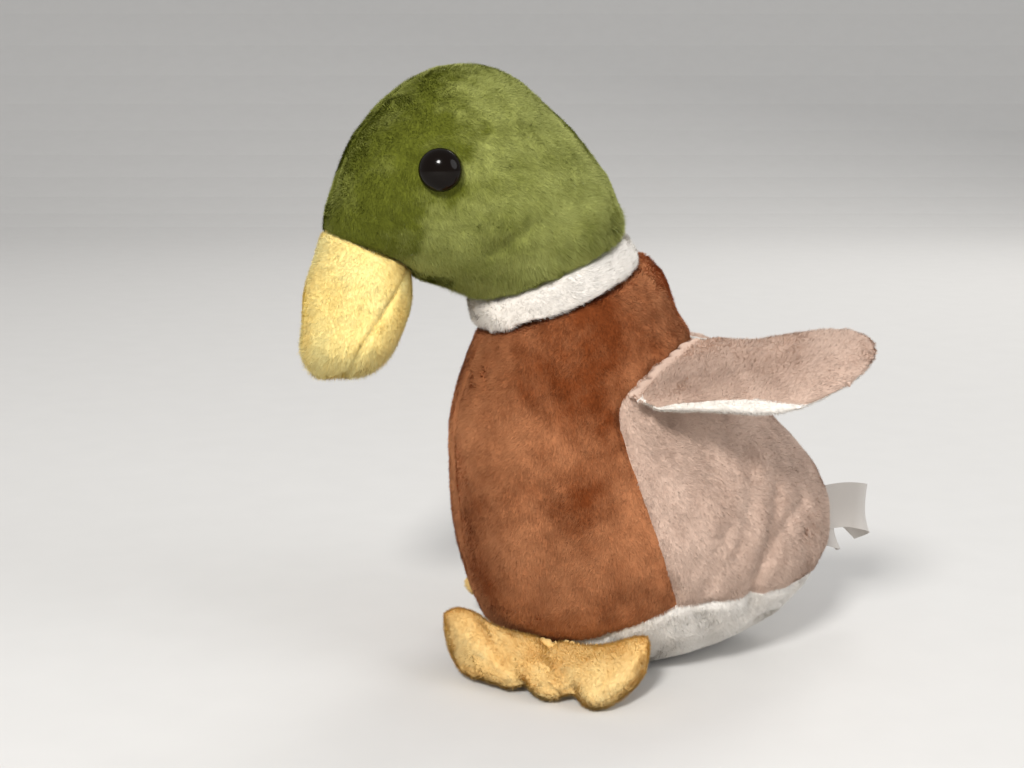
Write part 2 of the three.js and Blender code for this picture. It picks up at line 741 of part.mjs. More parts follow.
// Head pieces
for (const side of sides) {
  const [from_x, to_x] = half_of[side];
  const half = boxGeometry(new THREE.Vector3(from_x, -far, -far), new THREE.Vector3(to_x, far, 2 * far));
  addPiece(`head_${side}`, head_shell.intersect(solidOf(half)), 'green');
  addPiece(`eye_${side}`, placed(eyeGeometry(), eye_places[side]), 'eye');
  addPiece(`eye_washer_${side}`, placed(washerGeometry(), eye_places[side]), 'washer');
}
addPiece('head_stuffing', head_core.subtract(pockets).subtract(bill_grown), 'stuffing');
addPiece('bill_upper', bill_shell.intersect(sidePrism(bill_upper_outline, -far, far)), 'yellow');
addPiece('bill_lower', bill_shell.intersect(sidePrism(bill_lower_outline, -far, far)), 'yellow');
addPiece('bill_stuffing', bill_core, 'stuffing');

// Wings, feet and the label
for (const side of sides) {
  const [wing, foot] = [limbs[`wing_${side}`], limbs[`foot_${side}`]];
  addPiece(`wing_${side}_top`, wing.top, 'taupe');
  addPiece(`wing_${side}_lining`, wing.under, 'white');
  addPiece(`wing_${side}_wadding`, wing.wadding, 'stuffing');
  addPiece(`foot_${side}_top`, foot.top, 'orange');
  addPiece(`foot_${side}_sole`, foot.under, 'orange');
  addPiece(`foot_${side}_wadding`, foot.wadding, 'stuffing');
}
addPiece('care_label', placed(label_geometry, label_place), 'ribbon');

// Where the pieces turn on each other, for whoever poses the duck
const footJoint = (side) => ({
  place: new THREE.Vector3().setFromMatrixPosition(footPlace(side)), axis: footHinge(side).along,
});
duck.userData.joints = {
  neck: { place: new THREE.Vector3(0, neck_centre.x, neck_centre.y), axis: neck_axis },
  nod: { place: new THREE.Vector3(0, collar_top.x, collar_top.y), axis: side_axis },
  wing: { place: wing_hinge.middle, axis: wing_hinge.along, out: wing_hinge.out },
  foot_left: footJoint('left'),
  foot_right: footJoint('right'),
  label: { place: label_root, axis: up },
};

export default duck;
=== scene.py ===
# %% [markdown]
# # A plush duck, sewn from cloth panels and stuffed
#
# The real toy is a set of short-pile plush panels, sewn edge to edge and stuffed.
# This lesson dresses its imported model. Each stuffed form is made once as a closed
# skin, swelled like stuffed cloth, pulled in along its seams, and then cut into the
# panels that a maker would sew. Last, each panel gets a pile of thousands of fibres.

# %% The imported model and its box
import json
import math

import bmesh
import bpy
import numpy as np
from mathutils import Matrix, Vector
from mathutils.bvhtree import BVHTree

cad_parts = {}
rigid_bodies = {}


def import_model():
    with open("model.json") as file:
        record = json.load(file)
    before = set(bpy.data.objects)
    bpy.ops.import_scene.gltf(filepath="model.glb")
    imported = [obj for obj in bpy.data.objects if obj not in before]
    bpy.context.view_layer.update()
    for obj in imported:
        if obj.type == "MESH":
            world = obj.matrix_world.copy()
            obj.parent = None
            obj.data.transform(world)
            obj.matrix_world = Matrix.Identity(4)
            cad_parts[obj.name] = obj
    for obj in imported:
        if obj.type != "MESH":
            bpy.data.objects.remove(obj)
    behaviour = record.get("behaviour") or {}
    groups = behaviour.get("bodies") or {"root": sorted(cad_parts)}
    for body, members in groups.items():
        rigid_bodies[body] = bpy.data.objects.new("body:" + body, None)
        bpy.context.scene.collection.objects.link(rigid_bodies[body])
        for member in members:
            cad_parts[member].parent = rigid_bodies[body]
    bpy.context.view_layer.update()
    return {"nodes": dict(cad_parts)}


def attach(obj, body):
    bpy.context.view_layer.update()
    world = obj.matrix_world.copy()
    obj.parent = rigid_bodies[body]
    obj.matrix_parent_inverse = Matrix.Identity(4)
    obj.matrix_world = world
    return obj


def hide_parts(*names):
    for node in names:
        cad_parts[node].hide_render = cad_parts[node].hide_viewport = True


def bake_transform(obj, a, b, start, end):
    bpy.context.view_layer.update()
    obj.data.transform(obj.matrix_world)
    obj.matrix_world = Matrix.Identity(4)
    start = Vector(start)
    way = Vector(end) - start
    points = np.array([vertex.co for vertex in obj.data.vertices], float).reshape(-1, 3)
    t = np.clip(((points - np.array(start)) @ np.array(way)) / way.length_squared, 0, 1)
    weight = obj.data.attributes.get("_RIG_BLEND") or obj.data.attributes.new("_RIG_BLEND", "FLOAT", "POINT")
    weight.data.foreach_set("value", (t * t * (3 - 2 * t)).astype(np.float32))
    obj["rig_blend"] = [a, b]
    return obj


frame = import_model()
scene = bpy.context.scene
mm = 0.001
print("packed nodes:", len(frame["nodes"]))

# %% [markdown]
# ## Camera, floor and light
#
# The camera stands at the toy's left, a little in front and above, as the picture
# was taken. It could be placed by eye, but its angle, distance and lens were worked
# out from the toy's own points, so the numbers are written down here.

# %% Camera
camera_azimuth, camera_rise = math.radians(72), math.radians(10.5)
camera_aim = Vector((0, -23.7, 71.2)) * mm
camera_distance = 430 * mm
camera_back = Vector((
    math.sin(camera_azimuth) * math.cos(camera_rise),
    -math.cos(camera_azimuth) * math.cos(camera_rise),
    math.sin(camera_rise)))
bpy.ops.object.select_all(action="DESELECT")
bpy.ops.object.camera_add(location=camera_aim + camera_back * camera_distance)
camera = bpy.context.active_object
camera.rotation_euler = camera_back.to_track_quat("Z", "Y").to_euler()
camera.data.lens, camera.data.sensor_width = 60.47, 36
camera.data.clip_start, camera.data.clip_end = 0.01, 20
scene.camera = camera
print("camera at", [round(value, 3) for value in camera.location])

# %% [markdown]
# The floor is one pale sheet that rises into a backdrop far behind, so there is no
# hard horizon. Three soft lamps light the toy: a small strong one above the camera's
# left, which also gives each eye its highlight, a wide weak one at its right, and one
# behind that picks out the edge of the pile.

# %% Floor and backdrop
def pale_paper():
    paper = bpy.data.materials.new("pale_paper")
    paper.use_nodes = True
    nodes, links = paper.node_tree.nodes, paper.node_tree.links
    shader = nodes["Principled BSDF"]
    shader.inputs["Roughness"].default_value = 0.9
    shader.inputs["Specular IOR Level"].default_value = 0.1
    speckle = nodes.new("ShaderNodeTexNoise")
    speckle.inputs["Scale"].default_value = 60
    tint = nodes.new("ShaderNodeMix")
    tint.data_type = "RGBA"
    tint.inputs["A"].default_value = (0.70, 0.69, 0.675, 1)
    tint.inputs["B"].default_value = (0.73, 0.72, 0.705, 1)
    place = nodes.new("ShaderNodeTexCoord")
    links.new(place.outputs["Object"], speckle.inputs["Vector"])
    links.new(speckle.outputs["Fac"], tint.inputs["Factor"])
    links.new(tint.outputs["Result"], shader.inputs["Base Color"])
    return paper


bpy.ops.object.select_all(action="DESELECT")
bpy.ops.mesh.primitive_grid_add(x_subdivisions=4, y_subdivisions=60, size=1)
floor = bpy.context.active_object
floor.name = "paper_floor"
away = Vector((-camera_back.x, -camera_back.y, 0)).normalized()
across = Vector((-away.y, away.x, 0))
floor_depth, floor_width, floor_front, bend_from, bend_radius = 4.4, 6.0, 1.4, 1.1, 1.2
for vertex in floor.data.vertices:
    along = (vertex.co.y + 0.5) * floor_depth - floor_front
    bend = min(max(along - bend_from, 0) / bend_radius, math.pi / 2)
    past = max(along - bend_from - bend_radius * math.pi / 2, 0)
    run = min(along, bend_from) + bend_radius * math.sin(bend)
    rise = bend_radius * (1 - math.cos(bend)) + past
    vertex.co = away * run + across * (vertex.co.x * floor_width) + Vector((0, 0, rise))
floor.data.materials.append(pale_paper())
print("floor:", len(floor.data.polygons), "faces")

# %% Lamps
def soft_lamp(name, azimuth, rise, distance, size, power, colour):
    way = Vector((
        math.sin(math.radians(azimuth)) * math.cos(math.radians(rise)),
        -math.cos(math.radians(azimuth)) * math.cos(math.radians(rise)),
        math.sin(math.radians(rise))))
    bpy.ops.object.light_add(type="AREA", location=camera_aim + way * distance)
    lamp = bpy.context.active_object
    lamp.name = name
    lamp.rotation_euler = way.to_track_quat("Z", "Y").to_euler()
    lamp.data.shape = "DISK"
    lamp.data.size = size
    lamp.data.energy = power
    lamp.data.color = colour


soft_lamp("key_lamp", 58, 34, 1.3, 0.24, 15.2, (1, 0.985, 0.96))
soft_lamp("fill_lamp", 135, 24, 1.5, 1.0, 7.0, (0.96, 0.98, 1))
soft_lamp("rim_lamp", 225, 36, 1.3, 0.6, 5.0, (1, 0.98, 0.95))
world = bpy.data.worlds.new("even_room")
world.use_nodes = True
world.node_tree.nodes["Background"].inputs["Color"].default_value = (1, 1, 1, 1)
world.node_tree.nodes["Background"].inputs["Strength"].default_value = 0.42
scene.world = world
scene.view_settings.view_transform = "Standard"

# %% [markdown]
# ## Smooth waves instead of random numbers
#
# Stuffing makes soft lumps, and brushed pile lies in patches. Both need a number
# that changes smoothly from place to place. A few sine waves in fixed seeded
# directions give one, and give the same one on every run.

# %% Smooth waves
def waves(points, size, seed, count=7):
    rng = np.random.default_rng(seed)
    turn = rng.normal(size=(count, 3))
    turn /= np.linalg.norm(turn, axis=1)[:, None]
    pace = 2 * np.pi / size * rng.uniform(0.6, 1.5, count)
    start = rng.uniform(0, 2 * np.pi, count)
    total = np.sin(points @ (turn * pace[:, None]).T + start).sum(axis=1)
    return total / np.sqrt(count / 2)


print("waves at the origin:", waves(np.zeros((1, 3)), 0.02, 1).round(3))

# %% [markdown]
# ## One skin round a stuffed form
#
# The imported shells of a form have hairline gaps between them. A voxel remesh of the
# shells together with their filling closes the gaps and gives even, small faces.
# Each point keeps its distance from every shell, so the seams can be found again
# later as the places that are equally far from two shells.


# %% Skin of several nodes
def copy_of(node):
    piece = frame["nodes"][node].copy()
    piece.data = piece.data.copy()
    scene.collection.objects.link(piece)
    piece.parent = None
    return piece


def only(piece):
    bpy.ops.object.select_all(action="DESELECT")
    piece.select_set(True)
    bpy.context.view_layer.objects.active = piece


def skin_of(name, nodes, voxel):
    copies = [copy_of(node) for node in nodes]
    bpy.ops.object.select_all(action="DESELECT")
    for piece in copies:
        piece.select_set(True)
    bpy.context.view_layer.objects.active = copies[0]
    bpy.ops.object.join()
    skin = bpy.context.active_object
    skin.name = name
    for key in list(skin.keys()):
        del skin[key]
    skin.data.materials.clear()
    bpy.ops.object.mode_set(mode="EDIT")
    bpy.ops.mesh.select_all(action="SELECT")
    bpy.ops.mesh.remove_doubles(threshold=0.00001)
    bpy.ops.object.mode_set(mode="OBJECT")
    remesh = skin.modifiers.new("remesh", "REMESH")
    remesh.mode, remesh.voxel_size = "VOXEL", voxel
    bpy.ops.object.modifier_apply(modifier="remesh")
    keep_largest(skin)
    return skin


def keep_largest(skin):
    shell = bmesh.new()
    shell.from_mesh(skin.data)
    shell.verts.ensure_lookup_table()
    seen, best = set(), []
    for start in shell.verts:
        if start in seen:
            continue
        island, front = [start], [start]
        seen.add(start)
        while front:
            point = front.pop()
            for edge in point.link_edges:
                other = edge.other_vert(point)
                if other not in seen:
                    seen.add(other)
                    island.append(other)
                    front.append(other)
        if len(island) > len(best):
            best = island
    kept = set(best)
    bmesh.ops.delete(shell, geom=[v for v in shell.verts if v not in kept], context="VERTS")
    shell.to_mesh(skin.data)
    shell.free()


def spots(mesh, what="co"):
    found = np.zeros(len(mesh.vertices) * 3, np.float32)
    if what == "co":
        mesh.vertices.foreach_get("co", found)
    else:
        mesh.vertex_normals.foreach_get("vector", found)
    return found.reshape(-1, 3).astype(np.float64)


def put(mesh, points):
    mesh.vertices.foreach_set("co", np.ascontiguousarray(points, np.float32).ravel())
    mesh.update()


def keep_number(mesh, name, values):
    if name not in mesh.attributes:
        mesh.attributes.new(name, "FLOAT", "POINT")
    mesh.attributes[name].data.foreach_set("value", np.ascontiguousarray(values, np.float32))


def number(mesh, name):
    found = np.zeros(len(mesh.vertices), np.float32)
    mesh.attributes[name].data.foreach_get("value", found)
    return found.astype(np.float64)


def note_shells(skin, shells):
    for shell in shells:
        node = frame["nodes"][shell]
        tree = BVHTree.FromPolygons(
            [v.co for v in node.data.vertices], [list(p.vertices) for p in node.data.polygons])
        away_from = [tree.find_nearest(v.co)[3] for v in skin.data.vertices]
        keep_number(skin.data, "near_" + shell, away_from)


def seam_distance(mesh, shells):
    if len(shells) < 2:
        return np.full(len(mesh.vertices), 1.0)
    near = np.sort(np.array([number(mesh, "near_" + s) for s in shells]), axis=0)
    return near[1] - near[0]


print("nodes a skin can be made of:", len(frame["nodes"]))

# %% [markdown]
# ## Stuffing
#
# Stuffed cloth swells between its seams and can't swell at them. Blender's cloth
# with air pressure does just that when the seam points are pinned. The skin starts a
# little smaller, and no point may move further than a cap. The swelled skin is then
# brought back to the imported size, a little under it, as the pile stands on it. Last,
# one subdivision makes the faces small enough for the folds.


# %% Swelling by cloth
smooth_step, regrow_step = 0.5, -0.52


def soften(skin, rounds):
    only(skin)
    for _ in range(rounds):
        for factor in (smooth_step, regrow_step):
            smooth = skin.modifiers.new("soften", "SMOOTH")
            smooth.iterations, smooth.factor = 1, factor
            bpy.ops.object.modifier_apply(modifier="soften")


def spread(mesh, values, rounds):
    ends = np.zeros(len(mesh.edges) * 2, np.int32)
    mesh.edges.foreach_get("vertices", ends)
    a, b = ends.reshape(-1, 2).T
    count = len(values)
    shared = np.maximum(np.bincount(a, minlength=count) + np.bincount(b, minlength=count), 1)
    for _ in range(rounds):
        beside = np.bincount(a, values[b], count) + np.bincount(b, values[a], count)
        values = 0.4 * values + 0.6 * beside / shared
    return values


def settle(skin, outer, under, rounds=14):
    here, out = spots(skin.data), spots(skin.data, "normals")
    gap = spread(skin.data, ((outer - here) * out).sum(axis=1), rounds)
    put(skin.data, here + out * (gap - under)[:, None])


cloth_steps, air_pressure = 20, 4.0


def swell(skin, shells, outer, shrink, cap, seam_reach, under):
    put(skin.data, spots(skin.data) - spots(skin.data, "normals") * shrink)
    start = spots(skin.data)
    held = skin.vertex_groups.new(name="seams")
    at_seam = seam_distance(skin.data, shells) < seam_reach
    held.add([int(k) for k in np.nonzero(at_seam)[0]], 1.0, "REPLACE")
    only(skin)
    cloth = skin.modifiers.new("stuffed_cloth", "CLOTH")
    cloth.settings.quality = 5
    cloth.settings.mass = 0.2
    cloth.settings.tension_stiffness = 12
    cloth.settings.compression_stiffness = 12
    cloth.settings.bending_stiffness = 0.6
    cloth.settings.use_pressure = True
    cloth.settings.uniform_pressure_force = air_pressure
    cloth.settings.vertex_group_mass = "seams"
    cloth.settings.effector_weights.gravity = 0
    cloth.collision_settings.use_collision = False
    for step in range(1, cloth_steps + 1):
        scene.frame_set(step)
    bpy.ops.object.modifier_apply(modifier="stuffed_cloth")
    scene.frame_set(1)
    skin.vertex_groups.clear()
    moved = spots(skin.data) - start
    far = np.linalg.norm(moved, axis=1)
    moved *= np.minimum(1, cap / np.maximum(far, 1e-9))[:, None]
    put(skin.data, start + moved)
    settle(skin, outer, under)
    only(skin)
    finer = skin.modifiers.new("finer", "SUBSURF")
    finer.levels = finer.render_levels = 1
    bpy.ops.object.modifier_apply(modifier="finer")
    print(skin.name, "skin:", len(skin.data.vertices), "points, reach changed by",
          ((spots(skin.data).max(0) - outer.max(0)) / mm).round(2), "mm")


# %% [markdown]
# ## Seams, folds and dimples
#
# A sewn seam is a narrow valley, because the thread pulls the cloth in and the pile
# leans over it. A fold is a valley too, along a line of its own, and a dimple is one
# round a point. A depth below nothing makes a ridge or a fuller place instead. All
# are made by moving points by an amount that fades with distance. Sculpting by hand
# would give the same shape but couldn't be written down.


# %% Valleys
ground = 0.15 * mm


def from_line(points, line):
    found = np.full(len(points), 1e9)
    for a, b in zip(line[:-1], line[1:]):
        a, b = np.array(a, float), np.array(b, float)
        along = np.clip((points - a) @ (b - a) / max((b - a) @ (b - a), 1e-12), 0, 1)
        found = np.minimum(found, np.linalg.norm(points - a - along[:, None] * (b - a), axis=1))
    return found


def pull_in(skin, shells, seam_depth, seam_width, lumps, lump_size, folds=(), dimples=()):
    mesh = skin.data
    here, out = spots(mesh), spots(mesh, "normals")
    depth = seam_depth * np.exp(-(seam_distance(mesh, shells) / seam_width) ** 2)
    depth *= 1 + 0.35 * waves(here, 0.012, 5)
    for line, fold_depth, width in folds:
        depth += fold_depth * np.exp(-(from_line(here, np.array(line) * mm) / width) ** 2)
    for centre, hollow, width in dimples:
        depth += hollow * np.exp(-(np.linalg.norm(here - np.array(centre) * mm, axis=1) / width) ** 2)
    depth -= lumps * waves(here, lump_size, 11)
    moved = here - out * depth[:, None]
    moved[:, 2] = np.maximum(moved[:, 2], ground)
    put(mesh, moved)


print("at its width from the middle a valley has", round(math.exp(-1), 2), "of its depth")

# %% [markdown]
# ## Cutting the skin into panels
#
# The skin is one mesh until now, so both sides of each seam match exactly. To cut
# it, every edge that crosses a seam is split where the two shells are equally far,
# the new points are joined, and each face goes to the panel of its nearest shell.
# Cutting by whole faces would be simpler, but would leave a stair-stepped seam.


# %% Panels of a skin
def cut_panels(skin, shells):
    mesh = bmesh.new()
    mesh.from_mesh(skin.data)
    bmesh.ops.triangulate(mesh, faces=mesh.faces)
    layers = [mesh.verts.layers.float["near_" + s] for s in shells]

    def nearest(vertex):
        return min(range(len(layers)), key=lambda k: vertex[layers[k]])

    owner = {v: nearest(v) for v in mesh.verts}
    shares, crossing = {}, []
    for edge in mesh.edges:
        a, b = edge.verts
        if owner[a] != owner[b]:
            first, second = layers[owner[a]], layers[owner[b]]
            at_a, at_b = a[second] - a[first], b[first] - b[second]
            shares[edge] = min(max(at_a / max(at_a + at_b, 1e-12), 0.08), 0.92)
            crossing.append(edge)
    made = bmesh.ops.bisect_edges(mesh, edges=crossing, cuts=1, edge_percents=shares)
    fresh = [g for g in made["geom_split"] if isinstance(g, bmesh.types.BMVert)]
    bmesh.ops.connect_verts(mesh, verts=fresh)
    bmesh.ops.triangulate(mesh, faces=mesh.faces)
    fresh = set(fresh)
    panel_of = []
    for face in mesh.faces:
        settled = [owner[v] for v in face.verts if v in owner and v not in fresh]
        if settled:
            panel_of.append(max(set(settled), key=settled.count))
        else:
            totals = [sum(v[layer] for v in face.verts) for layer in layers]
            panel_of.append(int(np.argmin(totals)))
    panels = {}
    for k, shell in enumerate(shells):
        part = mesh.copy()
        part.faces.ensure_lookup_table()
        drop = [part.faces[i] for i, p in enumerate(panel_of) if p != k]
        bmesh.ops.delete(part, geom=drop, context="FACES")
        data = bpy.data.meshes.new(shell + "_plush")
        part.to_mesh(data)
        part.free()
        panels[shell] = bpy.data.objects.new(shell + "_plush", data)
        scene.collection.objects.link(panels[shell])
    mesh.free()
    bpy.data.objects.remove(skin)
    print("panels:", {s: len(p.data.polygons) for s, p in panels.items()})
    return panels


# %% [markdown]
# ## Plush finish
#
# Plush is dull and soft: no gloss, and a faint sheen where the fibres are seen edge on.
# Shade between the fibres is painted into the colour, darker towards their roots. The
# cloth reads two numbers that are stored on its points: how high up a fibre the point
# is, which sets that painted shade, and a tone of random patches with painted light and
# shade laid on it, where the brushed pile would look lighter or darker. A noise adds a
# fine uneven dye.


# %% Plush material
def plush(name, painted_root_shade, dark, light, sheen=0.4):
    cloth = bpy.data.materials.new(name)
    cloth.use_nodes = True
    nodes, links = cloth.node_tree.nodes, cloth.node_tree.links
    shader = nodes["Principled BSDF"]
    shader.inputs["Roughness"].default_value = 0.95
    shader.inputs["Specular IOR Level"].default_value = 0.15
    shader.inputs["Sheen Weight"].default_value = sheen
    shader.inputs["Sheen Roughness"].default_value = 0.35

    def colour(value):
        return tuple((c / 255 / 12.92 if c / 255 <= 0.04045 else ((c / 255 + 0.055) / 1.055) ** 2.4)
                     for c in value) + (1,)

    shader.inputs["Sheen Tint"].default_value = colour(light)
    # One attribute holds the tone: random patches with painted light and shade laid on them. The other, the
    # height up a fibre, sets the painted shade at the roots.
    tone_and_painted_light, height = nodes.new("ShaderNodeAttribute"), nodes.new("ShaderNodeAttribute")
    tone_and_painted_light.attribute_name, height.attribute_name = "tone_and_painted_light", "height"
    place, dye = nodes.new("ShaderNodeTexCoord"), nodes.new("ShaderNodeTexNoise")
    dye.inputs["Scale"].default_value = 420
    dye.inputs["Detail"].default_value = 3
    links.new(place.outputs["Object"], dye.inputs["Vector"])
    uneven = nodes.new("ShaderNodeMath")
    uneven.operation = "MULTIPLY_ADD"
    dye_strength = 0.3
    uneven.inputs[1].default_value = dye_strength
    uneven.inputs[2].default_value = -dye_strength / 2
    links.new(dye.outputs["Fac"], uneven.inputs[0])
    tone = nodes.new("ShaderNodeMath")
    tone.operation, tone.use_clamp = "ADD", True
    links.new(uneven.outputs["Value"], tone.inputs[0])
    links.new(tone_and_painted_light.outputs["Fac"], tone.inputs[1])
    lay = nodes.new("ShaderNodeMix")
    lay.data_type = "RGBA"
    lay.inputs["A"].default_value, lay.inputs["B"].default_value = colour(dark), colour(light)
    links.new(tone.outputs["Value"], lay.inputs["Factor"])
    # Painted shade: low on a fibre, and on the cloth under the pile, the colour turns towards the painted
    # root shade.
    root = nodes.new("ShaderNodeMix")
    root.data_type = "RGBA"
    root.inputs["A"].default_value = colour(painted_root_shade)
    links.new(height.outputs["Fac"], root.inputs["Factor"])
    links.new(lay.outputs["Result"], root.inputs["B"])
    links.new(root.outputs["Result"], shader.inputs["Base Color"])
    return cloth


# name, painted shade between the fibres, darkest tone, lightest tone
brown = plush("brown_plush_cloth", (120, 64, 30), (122, 60, 26), (208, 142, 98))
taupe = plush("taupe_plush_cloth", (177, 149, 132), (182, 154, 138), (234, 207, 189))
white = plush("white_plush_cloth", (230, 222, 212), (236, 229, 220), (252, 248, 242))
green = plush("green_plush_cloth", (96, 100, 34), (98, 104, 30), (186, 190, 112))
yellow = plush("yellow_plush_cloth", (240, 206, 120), (246, 214, 126), (255, 246, 180))
orange = plush("orange_plush_cloth", (216, 172, 100), (226, 178, 100), (255, 232, 170))
print("plush finishes:", [m.name for m in bpy.data.materials if "plush" in m.name])

# %% [markdown]
# ## Growing the pile
#
# Blender's own hair would be lost when the toy leaves Blender, so each fibre is a
# slim triangle of the mesh. Roots are scattered evenly by area with a seeded
# generator. Every fibre leans the way the cloth was brushed, swerves in patches, and
# is shaded with the cloth's own normal, so the pile looks soft and not like needles.
# A few fibres stand up, which makes the outline fuzzy. `lit` tips the shading up, for
# rims where light soaks through the pile.

# %% Pile
pile_share = 1.0
pile_count = 0
root_sink = 0.12 * mm
swerve_share, clump_share, least_way = 0.33, 0.14, 0.45
upright_lean, upright_width, upright_shade = 0.3, 0.75, 0.7
loose_upright, loose_lying, lean_shade, tone_scatter = 0.6, 0.2, 0.2, 0.11


def unit(rows):
    return rows / np.maximum(np.linalg.norm(rows, axis=-1, keepdims=True), 1e-9)


def grow_pile(panel, cloth, length, nap_way, seed, density=23, lean=1.4, width=0.13, stray=0.16,
              standing=0.1, bare=(), where=None, tuft=None, painted_light_and_shade=None, mottle=0.08, thickness=0.9,
              lit=0):
    global pile_count
    mesh = panel.data
    mesh.calc_loop_triangles()
    corners = np.zeros(len(mesh.loop_triangles) * 3, np.int32)
    mesh.loop_triangles.foreach_get("vertices", corners)
    corners = corners.reshape(-1, 3)
    here, out = spots(mesh), spots(mesh, "normals")
    a, b, c = (here[corners[:, k]] for k in range(3))
    area = np.linalg.norm(np.cross(b - a, c - a), axis=1) / 2
    rng = np.random.default_rng(seed)
    count = int(area.sum() / mm ** 2 * density * pile_share)
    chosen = np.searchsorted(np.cumsum(area) / area.sum(), rng.random(count)).clip(0, len(area) - 1)
    u, v = rng.random((2, count))
    folded = u + v > 1
    u[folded], v[folded] = 1 - u[folded], 1 - v[folded]
    weights = np.stack([1 - u - v, u, v], axis=1)
    roots = (here[corners[chosen]] * weights[:, :, None]).sum(axis=1)
    up = unit((out[corners[chosen]] * weights[:, :, None]).sum(axis=1))
    for centre, radius in bare:
        keep = np.linalg.norm(roots - np.array(centre) * mm, axis=1) > radius * mm
        roots, up = roots[keep], up[keep]
    if where is not None:
        keep = where(roots / mm, up)
        roots, up = roots[keep], up[keep]
    count = len(roots)
    pile_count += count
    way = np.array(nap_way, float)[None, :]
    swerve = np.stack([waves(roots, 0.017, seed + k) for k in (1, 2, 3)], axis=1)
    clump = np.stack([waves(roots, 0.0034, seed + k) for k in (11, 12, 13)], axis=1)
    way = way + swerve_share * swerve + clump_share * clump
    way -= (way * up).sum(axis=1)[:, None] * up
    way /= np.maximum(np.linalg.norm(way, axis=1), least_way)[:, None]
    upright = rng.random(count) < standing
    lean_here = lean * (1 + 0.12 * waves(roots, 0.006, seed + 4)) * np.where(upright, upright_lean, 1)
    grow = unit(up + way * lean_here[:, None] + rng.normal(scale=stray, size=(count, 3)))
    long = length * mm * rng.uniform(0.75, 1.15, count) * (1 + 0.08 * waves(roots, 0.005, seed + 5))
    if tuft is not None:
        long *= tuft(roots / mm)
    side = unit(np.cross(grow, up + 0.3 * rng.normal(size=(count, 3))))
    half = side * (width * mm / 2 * np.where(upright, upright_width, 1))[:, None]
    low = roots - up * root_sink
    tips = roots + grow * long[:, None]
    fibre = np.stack([low - half, low + half, tips], axis=1).reshape(-1, 3)
    fibre[:, 2] = np.maximum(fibre[:, 2], ground)
    loose = np.where(upright, loose_upright, loose_lying)[:, None]
    facing = up * np.where(upright, upright_shade, 1)[:, None] + lean_shade * way
    shade = unit(facing + loose * rng.normal(size=(count, 3)) + np.array((0, 0, lit)))
    tone = pile_tone(roots, seed, painted_light_and_shade, mottle) + rng.normal(scale=tone_scatter, size=count)
    close_panel(panel, thickness)
    base = panel.data
    base_normals = np.zeros(len(base.loops) * 3, np.float32)
    base.corner_normals.foreach_get("vector", base_normals)
    join_pile(panel, fibre, np.repeat(shade, 3, axis=0), base_normals.reshape(-1, 3),
              np.repeat(tone, 3), pile_tone(spots(base), seed, painted_light_and_shade, mottle))
    panel.data.materials.clear()
    panel.data.materials.append(cloth)


# Random patches of tone, plus the painted light and shade of a panel where one is given.
def pile_tone(points, seed, painted_light_and_shade, mottle):
    patch = 0.5 + mottle * (0.5 * waves(points, 0.0035, seed + 6) + waves(points, 0.009, seed + 7)
                            + waves(points, 0.024, seed + 8))
    return patch if painted_light_and_shade is None else patch + painted_light_and_shade(points / mm)


# Round spots of lighter and darker tone, mirrored to both sides; the tables of spots are painted light and
# shade.
def marks(at, tone_spots):
    at = np.concatenate([np.abs(at[:, :1]), at[:, 1:]], axis=1)
    total = np.zeros(len(at))
    for centre, radius, amount in tone_spots:
        far = np.linalg.norm(at - np.array(centre, float), axis=1)
        total += amount * np.exp(-(far / radius) ** 2)
    return total


def close_panel(panel, thickness):
    only(panel)
    wall = panel.modifiers.new("cloth_wall", "SOLIDIFY")
    wall.thickness, wall.offset = thickness * mm, -1
    bpy.ops.object.modifier_apply(modifier="cloth_wall")
    bpy.ops.object.shade_smooth()


# Painted shade between the fibres: at a fibre's root and on the cloth under the pile the colour is this
# share of the tone, the rest painted root shade.
root_height, cloth_height = 0.72, 0.7


def join_pile(panel, fibre, shade, base_normals, tone, base_tone):
    base = panel.data
    points = spots(base)
    loops = np.zeros(len(base.loops), np.int32)
    base.loops.foreach_get("vertex_index", loops)
    starts = np.zeros(len(base.polygons), np.int32)
    base.polygons.foreach_get("loop_start", starts)
    extra = len(fibre)
    joined = bpy.data.meshes.new(base.name)
    joined.vertices.add(len(points) + extra)
    joined.loops.add(len(loops) + extra)
    joined.polygons.add(len(starts) + extra // 3)
    joined.vertices.foreach_set("co", np.concatenate([points, fibre]).astype(np.float32).ravel())
    joined.loops.foreach_set("vertex_index", np.concatenate([loops, len(points) + np.arange(extra)]))
    joined.polygons.foreach_set(
        "loop_start", np.concatenate([starts, len(loops) + 3 * np.arange(extra // 3)]))
    joined.update(calc_edges=True)
    joined.polygons.foreach_set("use_smooth", np.ones(len(joined.polygons), bool))
    keep_number(joined, "tone_and_painted_light", np.concatenate([base_tone, tone]))
    height = np.tile([root_height, root_height, 1.0], extra // 3)
    keep_number(joined, "height", np.concatenate([np.full(len(points), cloth_height), height]))
    joined.normals_split_custom_set(
        np.concatenate([base_normals, shade]).astype(np.float32).tolist())
    old = panel.data
    panel.data = joined
    bpy.data.meshes.remove(old)


print("share of the pile that is grown:", pile_share)

# %% [markdown]
# ## Body
#
# The body is one pear-shaped skin with a brown breast, taupe flanks and back, and a
# white belly. Each breast and flank has a left and a right panel, with a seam down
# the front and up the back. Folds run down the flanks where the rump sags on its
# pellets. A low ridge meets each wing's root, and the nape is a little fuller.

# %% Body skin
body_shells = ["breast_left", "breast_right", "flank_left", "flank_right", "belly"]
body = skin_of("body_skin", body_shells + ["body_stuffing", "pellet_pouch"], 1.9 * mm)
note_shells(body, body_shells)
body_outer = spots(body.data)
soften(body, 6)
swell(body, body_shells, body_outer, shrink=0.9 * mm, cap=1.9 * mm, seam_reach=0.9 * mm, under=0.5 * mm)
soften(body, 2)
print("body skin:", len(body.data.vertices), "points")

